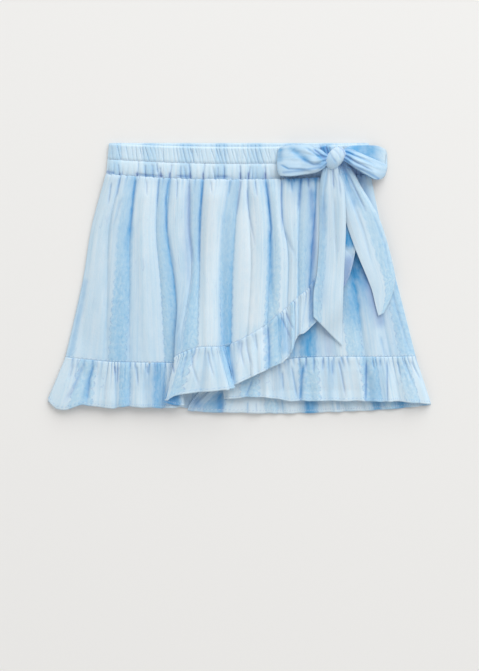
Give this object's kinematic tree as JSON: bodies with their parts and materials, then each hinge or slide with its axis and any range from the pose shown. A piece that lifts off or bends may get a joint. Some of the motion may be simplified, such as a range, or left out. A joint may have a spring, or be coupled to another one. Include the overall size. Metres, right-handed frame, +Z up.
{
  "type": "skort",
  "caption": "Short gathered wrap skirt with inner shorts, an elastic waist, a ruffled curved hem and a side bow, laid flat in thin striped cotton.",
  "frame": {"origin": "centre of the bounding box on the surface that the garment lies on", "axes": "+Y from the hem to the waistband, +X from the garment's plain side to the side with the bow, +Z up from the surface, out of the front of the skirt"},
  "size_m": [0.4138, 0.2914, 0.0251],
  "materials": {
    "striped_cotton": "matte, finely crinkled, with blue woven stripes",
    "plain_cotton": "matte plain weave"
  },
  "bodies": {
    "root": {"waistband_back": "striped_cotton", "waistband_front": "striped_cotton", "back_panel": "striped_cotton", "back_ruffle": "striped_cotton", "shorts_back_left": "plain_cotton", "shorts_back_right": "plain_cotton", "shorts_front_left": "plain_cotton", "shorts_front_right": "plain_cotton", "under_panel": "striped_cotton", "under_ruffle": "striped_cotton", "wrap_panel": "striped_cotton", "wrap_ruffle": "striped_cotton", "bow_tail_right": "striped_cotton", "bow_tail_left": "striped_cotton", "bow_loop_left": "striped_cotton", "bow_loop_right": "striped_cotton", "bow_knot": "striped_cotton"}
  },
  "joints": []
}
